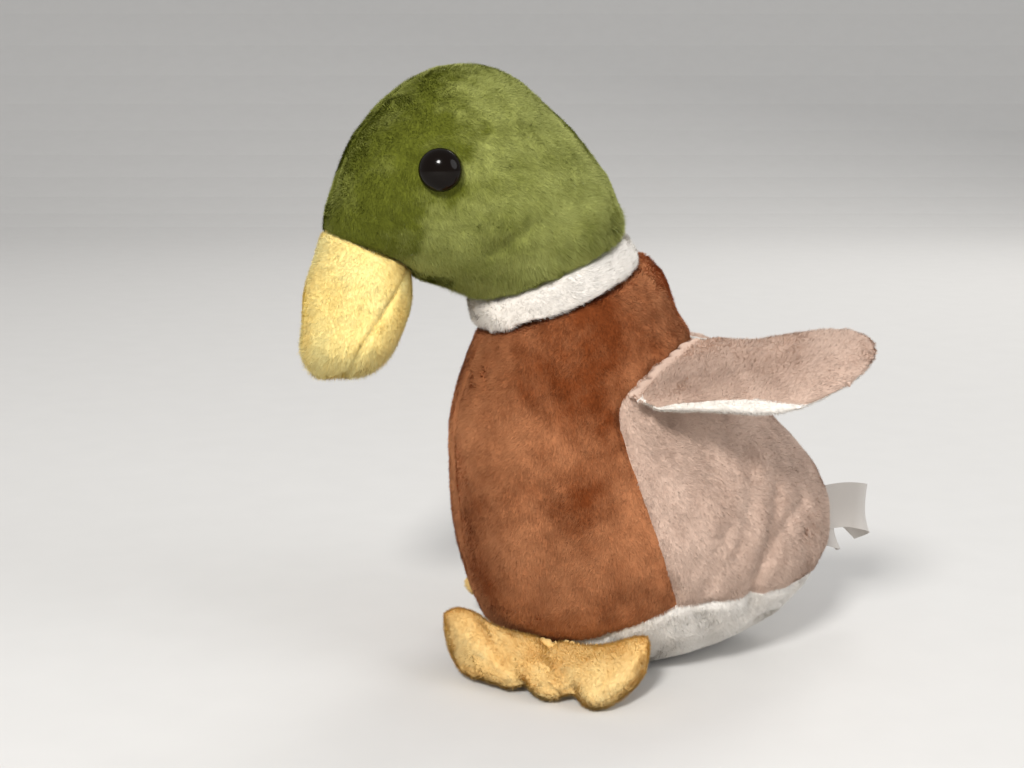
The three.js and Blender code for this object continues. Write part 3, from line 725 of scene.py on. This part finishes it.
# %% Body folds
rump_folds = [
    ([(31, 36, 52), (32.7, 34.7, 48.2), (36.4, 32.3, 40.2), (38.1, 29.3, 32.7), (36.8, 26.9, 24.2),
      (33.5, 27.9, 17.7)], 1.2 * mm, 2.2 * mm),
    ([(31.6, 27.8, 56), (36.3, 25.9, 48.2), (38.8, 23.9, 40.1), (39.7, 21.3, 33.1)],
     0.9 * mm, 2.4 * mm),
    ([(39.9, 17.9, 40.9), (40.4, 15.4, 34.5), (39.6, 13.6, 27)], 0.8 * mm, 2.2 * mm),
    ([(29, 44, 43), (34, 37.5, 40.7), (36.7, 33.1, 35.7), (38, 29.4, 28.8), (36.2, 28, 23.1),
      (31, 29, 14)], 1.2 * mm, 1.8 * mm),
    ([(36, 14, 17), (31, 17, 10.5), (24, 21, 6)], 0.7 * mm, 2.2 * mm),
    ([(-32, 40, 46), (-36, 33, 38), (-36, 28, 25)], 0.9 * mm, 2.4 * mm),
    ([(-38, 22, 44), (-39, 17, 31)], 0.5 * mm, 2.6 * mm),
]
nape_puff = [((0, 10, 101), -2.4 * mm, 8 * mm)]
wing_root_line = np.array((-0.4308, 0.7865, 0.4425))
for flip in (1, -1):
    ridge = [(np.array((26.2, 3.6, 77.4)) + s * wing_root_line) * (flip, 1, 1) for s in (-11, 0, 11)]
    rump_folds.append((ridge, -1.3 * mm, 2.6 * mm))
pull_in(body, body_shells, 0.9 * mm, 1.3 * mm, folds=rump_folds, dimples=nape_puff,
        lumps=0.22 * mm, lump_size=0.03)
body_panels = cut_panels(body, body_shells)
print("body panels:", sorted(body_panels), "folds:", len(rump_folds))

# %% Body pile
front_down, back_down = (0.1, -0.2, -1.0), (0.1, 0.45, -0.9)
# Painted light and shade on the breast: spots that are lighter or darker than its tone.
breast_light_and_shade_spots = [  # centre, reach and change of tone
    ((22, -9, 92), 12, -0.36), ((26, -15, 76), 11, -0.44), ((32, -17, 49), 8, -0.28),
    ((9, -38, 40), 6, -0.3), ((8, -35, 24), 7, -0.38), ((22, -29, 62), 10, 0.3),
    ((38, -4, 42), 12, 0.34), ((4, -38, 57), 9, 0.3), ((23, -29, 38), 8, 0.25), ((30, -21, 31), 7, 0.3),
    ((24, -8, 62), 8, -0.26), ((14, 8, 96), 9, 0.15)]


# Painted light and shade on the breast, with a lighter painted strip down the middle of the front.
def breast_light_and_shade(at):
    front_strip = np.exp(-(np.abs(at[:, 0]) / 9) ** 2) * np.clip((80 - at[:, 2]) / 20, 0, 1)
    return 1.35 * marks(at, breast_light_and_shade_spots) + 0.2 * front_strip


for shell, cloth, slot_name, way, seed, length, painted_light_and_shade in [
        ("breast_left", brown, "brown_plush", front_down, 100, 1.05, breast_light_and_shade),
        ("breast_right", brown, "brown_plush", front_down, 110, 1.05, breast_light_and_shade),
        ("flank_left", taupe, "taupe_plush", back_down, 120, 0.9, None),
        ("flank_right", taupe, "taupe_plush", back_down, 130, 0.9, None),
        ("belly", white, "white_plush", back_down, 140, 0.9, None)]:
    grow_pile(body_panels[shell], cloth, length, way, seed, painted_light_and_shade=painted_light_and_shade)
    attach(body_panels[shell], "body")
    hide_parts(shell)
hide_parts("belly", "pellet_pouch", "body_stuffing")
print("fibres so far:", pile_count)

# %% [markdown]
# ## Head and bill
#
# The head is two green side panels with a seam over the crown. The face in front of a
# ragged edge that runs down behind the eye is painted in shade, and the cheeks carry
# spots of painted light and shade. The pile is longer where it hangs over the collar.
# The bill is a soft yellow pocket with an upper and a lower panel, and it grows out of
# the face.

# %% Head skin
head_shells = ["head_left", "head_right"]
head = skin_of("head_skin", head_shells + ["head_stuffing"], 1.7 * mm)
note_shells(head, head_shells)
head_outer = spots(head.data)
soften(head, 5)
swell(head, head_shells, head_outer, shrink=0.7 * mm, cap=1.5 * mm, seam_reach=0.6 * mm, under=0.3 * mm)
eye_seats = {"left": (25.1, -48.8, 126.3), "right": (-25.1, -48.8, 126.3)}
cheek_folds = [
    ([(23, -36.3, 106.4), (24.6, -33.4, 108), (26, -30.2, 110.4), (26.9, -27.6, 112.7)],
     0.8 * mm, 2.0 * mm),
    ([(26.7, -36.4, 126.6), (26, -26.1, 125.7), (25.1, -18.2, 120.4)], 0.35 * mm, 0.9 * mm),
    ([(23.8, -52.2, 118.4), (22.5, -53.5, 114.4)], 0.4 * mm, 0.9 * mm),
    ([(-24, -35, 107), (-26.5, -28, 112)], 0.7 * mm, 2.0 * mm),
]
eye_dimples = [(seat, 1.1 * mm, 6.5 * mm) for seat in eye_seats.values()]
full_crown, full_brow = ((0, -32, 148), -1.9 * mm, 17 * mm), ((0, -64, 116), -1.4 * mm, 13 * mm)
pull_in(head, head_shells, 0.8 * mm, 1.1 * mm, folds=cheek_folds, lumps=0.2 * mm, lump_size=0.024,
        dimples=eye_dimples + [full_crown, full_brow])
head_panels = cut_panels(head, head_shells)
print("head panels:", sorted(head_panels), "folds:", len(cheek_folds))

# %% Head pile
# Where the painted shade of the face ends: heights of the ragged edge, and how far forward it lies at each.
shaded_face_edge_height = (100, 107, 116.7, 121.7, 129.8, 134.4, 139.9, 146)
shaded_face_edge_reach = (-57, -56, -49.5, -45.5, -44, -38.5, -41, -43)
# Spots of painted light and shade on the cheeks; one darker spot lies in a cheek fold.
cheek_light_and_shade_spots = [
    ((25, -33, 108), 4, -0.25), ((20, -12, 108), 8, -0.1), ((26, -40, 112), 6, 0.2),
    ((25, -22, 112), 8, 0.25), ((14, -2, 118), 8, 0.15)]
neck_line, neck_top = np.array((0, -0.3907, 0.9205)), np.array((0, -16.6, 105))


# Painted shade on the face in front of the ragged edge, and the cheek spots of painted light and shade.
def face_light_and_shade(at):
    ragged = 1.4 * waves(at * mm, 0.006, 61) + 1.2 * waves(at * mm, 0.014, 62)
    edge = np.interp(at[:, 2], shaded_face_edge_height, shaded_face_edge_reach) + ragged
    dark = -0.52 / (1 + np.exp((at[:, 1] - edge) / 1.3))
    return 0.08 + dark + marks(at, cheek_light_and_shade_spots)


def longer_at_collar(at):
    return 1 + 1.3 * np.exp(-((at - neck_top) @ neck_line / 3.2) ** 2)


for side in ("left", "right"):
    panel = head_panels["head_" + side]
    grow_pile(panel, green, 1.0, (0.2, 0.6, -0.75), 200 + len(side), bare=[(eye_seats[side], 5.0)],
              painted_light_and_shade=face_light_and_shade, tuft=longer_at_collar)
    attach(panel, "head")
    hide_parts("head_" + side, "eye_washer_" + side)
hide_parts("head_left", "eye_washer_left", "head_stuffing")
print("fibres so far:", pile_count)

# %% Bill
bill_shells = ["bill_upper", "bill_lower"]
bill = skin_of("bill_skin", bill_shells + ["bill_stuffing"], 1.2 * mm)
note_shells(bill, bill_shells)
bill_outer = spots(bill.data)
soften(bill, 4)
swell(bill, bill_shells, bill_outer, shrink=0.4 * mm, cap=0.9 * mm, seam_reach=0.5 * mm, under=0.2 * mm)
bill_fullness = [
    ((0, -72, 101), -1.6 * mm, 13 * mm), ((0, -75, 88), -1.4 * mm, 12 * mm),
    ((0, -75, 77), -2.2 * mm, 8 * mm)]


def longer_at_tip(at):
    return 1 + 1.6 * np.clip((86 - at[:, 2]) / 8, 0, 1)


pull_in(bill, bill_shells, 0.8 * mm, 0.9 * mm, dimples=bill_fullness, lumps=0.12 * mm, lump_size=0.014)
bill_panels = cut_panels(bill, bill_shells)
for shell, seed in (("bill_upper", 220), ("bill_lower", 230)):
    grow_pile(bill_panels[shell], yellow, 0.85, (0, -0.5, -1.0), seed, density=22, width=0.12,
              stray=0.24, standing=0.16, tuft=longer_at_tip)
    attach(bill_panels[shell], "head")
    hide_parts(shell)
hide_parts("bill_lower", "bill_stuffing")
print("bill panels:", sorted(bill_panels), "fibres so far:", pile_count)

# %% [markdown]
# ## Collar
#
# The collar is a white sleeve between body and head. It bends when the head nods, so
# its lower edge follows the neck and its upper edge the head.

# %% Collar
collar = skin_of("collar_skin", ["collar", "neck_stuffing"], 1.4 * mm)
note_shells(collar, ["collar"])
collar_outer = spots(collar.data)
soften(collar, 4)
swell(collar, ["collar"], collar_outer, shrink=0.3 * mm, cap=1.2 * mm, seam_reach=0, under=0.45 * mm)
pull_in(collar, ["collar"], 0, 1 * mm, lumps=0.2 * mm, lump_size=0.012)
collar.name = collar.data.name = "collar_plush"
grow_pile(collar, white, 1.15, (0.2, 1.0, 0.3), 300, mottle=0.02, lean=1.25, standing=0.08,
          density=24, lit=0.3, where=lambda at, out: np.abs(out @ neck_line) < 0.85)
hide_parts("collar", "neck_stuffing")
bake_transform(collar, "neck", "head", start=(0, -0.0118, 0.0938), end=(0, -0.0166, 0.105))
print("collar:", len(collar.data.vertices), "points with its pile")

# %% [markdown]
# ## Wings and feet
#
# Each wing is a flat pad with a taupe top and a white lining. Each foot is a webbed
# pad with three toes. Both are thin, so they're remeshed finer and swell less. A pad
# is reshaped once it is swelled. A wing's root goes deeper into the body, so that no
# gap opens when it flaps, and its lining shows along the lower edge. The corners of a
# foot curl up and are fuller: their upper side rises by a few millimetres and their
# lower side drops a little. The right foot is tucked in, as it is out of sight in the
# picture.


# %% Wings
def flat_pad(name, shells, voxel, seam_depth, seam_shift, reshape, folds=()):
    pad = skin_of(name + "_skin", shells + [name + "_wadding"], voxel)
    note_shells(pad, shells)
    lower = "near_" + shells[1]
    keep_number(pad.data, lower, number(pad.data, lower) + seam_shift(spots(pad.data) / mm) * mm)
    pad_outer = spots(pad.data)
    soften(pad, 3)
    swell(pad, shells, pad_outer, shrink=0.2 * mm, cap=0.8 * mm, seam_reach=0.4 * mm, under=0.35 * mm)
    pull_in(pad, shells, seam_depth, 0.8 * mm, folds=folds, lumps=0.12 * mm, lump_size=0.016)
    moved = reshape(spots(pad.data) / mm, spots(pad.data, "normals")) * mm
    moved[:, 2] = np.maximum(moved[:, 2], ground)
    put(pad.data, moved)
    return cut_panels(pad, shells)


# Spots of painted light and shade on the wings.
def wing_light_and_shade(at):
    return marks(at, [((42, 8.5, 77.6), 8, -0.4), ((34, 4, 76), 6, -0.28), ((45, 18.6, 81), 7, -0.2),
                      ((23, 14, 82.7), 8, 0.2), ((44, 33, 85), 10, 0.15), ((58, 26, 76), 9, 0.15)])


wing_root_middle = np.array((26.605, 5.496, 77.776))
wing_stretch, root_depth, root_fade = 0.095, 3.4, 4
wing_lift, tip_lift = 1.3, 1.5


def to_left(at, flip):
    return at * np.array((flip, 1, 1))


def on_wing(at, flip):
    away = to_left(at, flip) - wing_root_middle
    along = away @ wing_root_line
    outward = away - along[:, None] * wing_root_line
    return along, outward, np.linalg.norm(outward, axis=1)


for side, flip in (("left", 1), ("right", -1)):
    def seam_shift(at):
        along, outward, from_root = on_wing(at, flip)
        reach = np.where(along > 0, 6.5, 3.4)
        at_root = np.clip((reach - from_root) / 1.2, 0, 1)
        lower_edge = np.clip((-along - 1) / 5, 0, 1)
        shown = np.interp(from_root, (6, 13, 26, 34), (0, 1.6, 2.4, 3.2))
        return 6 * at_root + (0.5 - (shown + 0.5) * lower_edge) * (1 - at_root)

    def longer_wing(at, facing):
        along, outward, from_root = on_wing(at, flip)
        outward = outward / np.maximum(from_root, 1e-6)[:, None]
        stretch = wing_stretch * from_root - root_depth * np.exp(-from_root / root_fade)
        near_root = np.exp(-(from_root / 11) ** 2)
        longer = near_root * (0.34 * np.minimum(along + 2, 0) + 0.2 * np.maximum(along - 2, 0))
        moved = at + to_left(outward * stretch[:, None] + wing_root_line * longer[:, None], flip)
        moved[:, 2] += wing_lift * np.clip(from_root / 18, 0, 1)
        moved[:, 2] += tip_lift * np.clip((from_root - 16) / 14, 0, 1) * np.clip((along + 4) / 10, 0, 1)
        return moved

    wing = "wing_" + side
    shells = [wing + "_top", wing + "_lining"]
    panels = flat_pad(wing, shells, voxel=1.25 * mm, seam_depth=0.2 * mm, seam_shift=seam_shift,
                      reshape=longer_wing)
    for shell, cloth, slot_name, seed in (
            (shells[0], taupe, "taupe_plush", 400), (shells[1], white, "white_plush", 410)):
        grow_pile(panels[shell], cloth, 0.95, (0.6 * flip, 0.9, 0.1), seed + flip, thickness=0.7,
                  painted_light_and_shade=wing_light_and_shade)
        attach(panels[shell], wing)
        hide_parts(shell)
    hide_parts(shells[1], wing + "_wadding")
print("wings done, fibres so far:", pile_count)

# %% Feet
foot_root = {"left": (21.447, -18.397), "right": (-29.927, 1.651)}
foot_out = {"left": (0.7849, -0.6196), "right": (-0.9884, -0.1517)}
tucked_angle, tucked_in = 0.26, 3.0
tucked_turn = np.array(((math.cos(tucked_angle), -math.sin(tucked_angle)),
                        (math.sin(tucked_angle), math.cos(tucked_angle))))
outer_low, outer_rise, inner_low, inner_rise = -1.0, 6.2, -2.8, 8.4
toe_valleys = [
    [(28.8, -30.5, 3.4), (27.5, -33.1, 6.2), (20.6, -33.7, 9.5), (14.1, -33.5, 11.5)],
    [(37.7, -21.7, 4), (35.7, -23.3, 7.2), (28.8, -22.9, 9.8), (21.9, -21.6, 11.2)],
]
toe_pads = [
    [(25, -34, 3), (20, -37, 5), (14, -39, 6)],
    [(34.5, -28.5, 3), (31, -28, 6)],
    [(39.5, -15, 3), (36, -15, 6)],
]


def on_foot(side, point):
    start, out = foot_root["left"], foot_out["left"]
    away = (point[0] - start[0]) * out[0] + (point[1] - start[1]) * out[1]
    aside = (point[1] - start[1]) * out[0] - (point[0] - start[0]) * out[1]
    if side == "right":
        start, out = foot_root[side], foot_out[side]
        aside = -aside
    return (start[0] + away * out[0] - aside * out[1], start[1] + away * out[1] + aside * out[0], point[2])


for side, flip in (("left", 1), ("right", -1)):
    start, out = np.array(foot_root[side]), np.array(foot_out[side])
    sideways = np.array((-out[1], out[0]))

    def curled_foot(at, facing):
        away, aside = (at[:, :2] - start) @ out, (at[:, :2] - start) @ sideways * flip
        outer = np.exp(-((aside - 25) / 9) ** 2 - ((away - 4) / 10) ** 2)
        inner = np.exp(-((aside + 24) / 11) ** 2 - ((away - 5) / 10) ** 2)
        if side == "right":
            inner, outer = 0.15 * inner, 0.5 * outer
        outer_toe = np.exp(-((aside - 18) / 7) ** 2) * np.clip(away / 14, 0, 1)
        upper = np.clip(0.5 + 0.9 * facing[:, 2], 0, 1)
        lift = (outer_low + outer_rise * upper) * outer + (inner_low + inner_rise * upper) * inner
        wider = np.sign(aside) * flip * (0.12 * lift + 1.0 * outer)
        further = 0.1 * lift + 2.4 * outer_toe + 1.2 * inner
        spot = at + np.stack([out[0] * further, out[1] * further, lift], axis=1)
        spot[:, :2] += wider[:, None] * sideways
        if side == "right":
            spot[:, :2] = start - tucked_in * out + (spot[:, :2] - start) @ tucked_turn
        return spot

    def foot_seam(at):
        away = (at[:, :2] - start) @ out
        return 25 * np.clip((5 - away) / 2, 0, 1) + 0.3

    # A painted highlight: the front rim of the foot is painted lighter, and its pile is longer there.
    def at_rim(at):
        away = (at[:, :2] - start) @ out
        return 0.3 * np.clip((away - 12) / 6, 0, 1)

    foot = "foot_" + side
    shells = [foot + "_top", foot + "_sole"]
    valleys = [([on_foot(side, p) for p in line], 1.7 * mm, 2.2 * mm) for line in toe_valleys]
    valleys += [([on_foot(side, p) for p in line], -1.2 * mm, 4.5 * mm) for line in toe_pads]
    panels = flat_pad(foot, shells, voxel=1.2 * mm, seam_depth=0, seam_shift=foot_seam,
                      reshape=curled_foot, folds=valleys)
    for shell, seed, rim_light in ((shells[0], 500, 0.32), (shells[1], 510, 0.9)):
        grow_pile(panels[shell], orange, 1.0, (out[0], out[1], 0.0), seed + flip, thickness=0.7,
                  density=28, width=0.115, lean=1.2, stray=0.2, standing=0.2, lit=rim_light,
                  painted_light_and_shade=at_rim, tuft=lambda at: 1 + 1.5 * at_rim(at))
        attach(panels[shell], foot)
        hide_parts(shell)
    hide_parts(shells[1], foot + "_wadding")
print("fibres so far:", pile_count)

# %% [markdown]
# ## Eyes
#
# Safety eyes are polished dark brown plastic domes. The dome is half of a sphere,
# pressed flatter and closed by a short rim that sits in the plush.


# %% Eyes
def polished_plastic():
    plastic = bpy.data.materials.new("dark_eye_plastic")
    plastic.use_nodes = True
    nodes, links = plastic.node_tree.nodes, plastic.node_tree.links
    shader = nodes["Principled BSDF"]
    shader.inputs["Specular IOR Level"].default_value = 0.15
    place, cloud = nodes.new("ShaderNodeTexCoord"), nodes.new("ShaderNodeTexNoise")
    cloud.inputs["Scale"].default_value = 160
    links.new(place.outputs["Object"], cloud.inputs["Vector"])
    brown_depth = nodes.new("ShaderNodeMix")
    brown_depth.data_type = "RGBA"
    brown_depth.inputs["A"].default_value = (0.0024, 0.0013, 0.0008, 1)
    brown_depth.inputs["B"].default_value = (0.005, 0.0026, 0.0013, 1)
    links.new(cloud.outputs["Fac"], brown_depth.inputs["Factor"])
    links.new(brown_depth.outputs["Result"], shader.inputs["Base Color"])
    wear = nodes.new("ShaderNodeMapRange")
    wear.inputs["To Min"].default_value, wear.inputs["To Max"].default_value = 0.11, 0.15
    links.new(cloud.outputs["Fac"], wear.inputs["Value"])
    links.new(wear.outputs["Result"], shader.inputs["Roughness"])
    return plastic


eye_plastic = polished_plastic()
eye_radius, eye_rise, eye_rim, eye_sink = 5.0 * mm, 3.6 * mm, 0.8 * mm, 1.6 * mm
for side, flip in (("left", 1), ("right", -1)):
    bpy.ops.object.select_all(action="DESELECT")
    bpy.ops.mesh.primitive_uv_sphere_add(segments=64, ring_count=32, radius=eye_radius)
    eye = bpy.context.active_object
    eye.name = eye.data.name = f"eye_{side}_dome"
    points = spots(eye.data)
    above = points[:, 2] > 0
    points[above, 2] = points[above, 2] / eye_radius * eye_rise + eye_rim
    under = ~above
    reach = np.clip(-points[under, 2] / eye_radius, 0, 1)
    points[under, 2] = eye_rim - np.minimum(reach * 4, 1) * (eye_rim + eye_sink)
    put(eye.data, points)
    gaze = Vector((0.914 * flip, -0.407, 0)).normalized()
    turned = gaze.to_track_quat("Z", "Y").to_matrix().to_4x4()
    eye.data.transform(Matrix.Translation(Vector(eye_seats[side]) * mm) @ turned)
    bpy.ops.object.shade_smooth()
    eye.data.materials.append(eye_plastic)
    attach(eye, "head")
    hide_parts("eye_" + side)
print("eyes:", len(eye_seats))

# %% [markdown]
# ## Label
#
# A folded ribbon is sewn into the seam up the back. It is left blank. A ribbon is a
# sheet of even width, so it is made as a strip that follows a path: straight at
# first, then round a curl, while its slope changes between four values.


# %% Ribbon
def satin_ribbon():
    ribbon = bpy.data.materials.new("satin_ribbon")
    ribbon.use_nodes = True
    nodes, links = ribbon.node_tree.nodes, ribbon.node_tree.links
    shader = nodes["Principled BSDF"]
    shader.inputs["Roughness"].default_value = 0.55
    shader.inputs["Sheen Weight"].default_value = 0.2
    place = nodes.new("ShaderNodeUVMap")
    place.uv_map = "threads"
    weave = nodes.new("ShaderNodeTexWave")
    weave.inputs["Scale"].default_value = 14
    weave.inputs["Distortion"].default_value = 0.6
    tint = nodes.new("ShaderNodeMix")
    tint.data_type = "RGBA"
    tint.inputs["A"].default_value = (0.50, 0.46, 0.42, 1)
    tint.inputs["B"].default_value = (0.64, 0.60, 0.56, 1)
    links.new(place.outputs["UV"], weave.inputs["Vector"])
    links.new(weave.outputs["Fac"], tint.inputs["Factor"])
    links.new(tint.outputs["Result"], shader.inputs["Base Color"])
    return ribbon


ribbon_width, ribbon_thickness = 12.4, 0.3 * mm


def ribbon_leaf(name, root, length, straight, radius, slopes):
    along_steps, across_steps = 40, 8
    verts, faces = [], []
    middle = Vector(root) + Vector((0, 0, ribbon_width / 2))
    for k in range(along_steps + 1):
        s = length * k / along_steps
        turn = max(s - straight, 0) / radius
        slope = math.radians(float(np.interp(s / length, (0, 0.3, 0.65, 1), slopes)))
        level = math.cos(slope)
        ahead = Vector((-math.sin(turn) * level, math.cos(turn) * level, -math.sin(slope)))
        upward = (Vector((0, 0, 1)) + ahead * math.sin(slope)) / level
        for j in range(across_steps + 1):
            verts.append((middle + upward * ribbon_width * (j / across_steps - 0.5)) * mm)
        middle = middle + ahead * (length / along_steps)
    for k in range(along_steps):
        for j in range(across_steps):
            first = k * (across_steps + 1) + j
            faces.append((first, first + 1, first + across_steps + 2, first + across_steps + 1))
    data = bpy.data.meshes.new(name)
    data.from_pydata(verts, [], faces)
    uv = data.uv_layers.new(name="threads")
    for loop in data.loops:
        k, j = divmod(loop.vertex_index, across_steps + 1)
        uv.data[loop.index].uv = (length * k / along_steps, j * ribbon_width / across_steps)
    leaf = bpy.data.objects.new(name, data)
    scene.collection.objects.link(leaf)
    only(leaf)
    wall = leaf.modifiers.new("ribbon_wall", "SOLIDIFY")
    wall.thickness, wall.offset = ribbon_thickness, 0
    bpy.ops.object.modifier_apply(modifier="ribbon_wall")
    bpy.ops.object.shade_smooth_by_angle(angle=math.radians(40))
    return leaf


label = ribbon_leaf("care_ribbon", (0.2, 62.6, 25.6), 27.5, 11.5, 4.8, (-12, 2, 30, 48))
inner = ribbon_leaf("inner_ribbon", (-0.3, 62.6, 23.8), 11.5, 4.4, 2.5, (20, 30, 34, 34))
only(label)
inner.select_set(True)
bpy.ops.object.join()
label.data.materials.append(satin_ribbon())
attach(label, "label")
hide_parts("care_label")
print("ribbon: two leaves, 27.5 and 11.5 mm long")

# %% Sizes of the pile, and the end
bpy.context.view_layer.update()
plush_meshes = [piece.data for piece in scene.objects if piece.name.endswith("_plush")]
triangles = sum(len(mesh.loops) - 2 * len(mesh.polygons) for mesh in plush_meshes)
print("fibres:", pile_count, "triangles in the plush:", triangles)
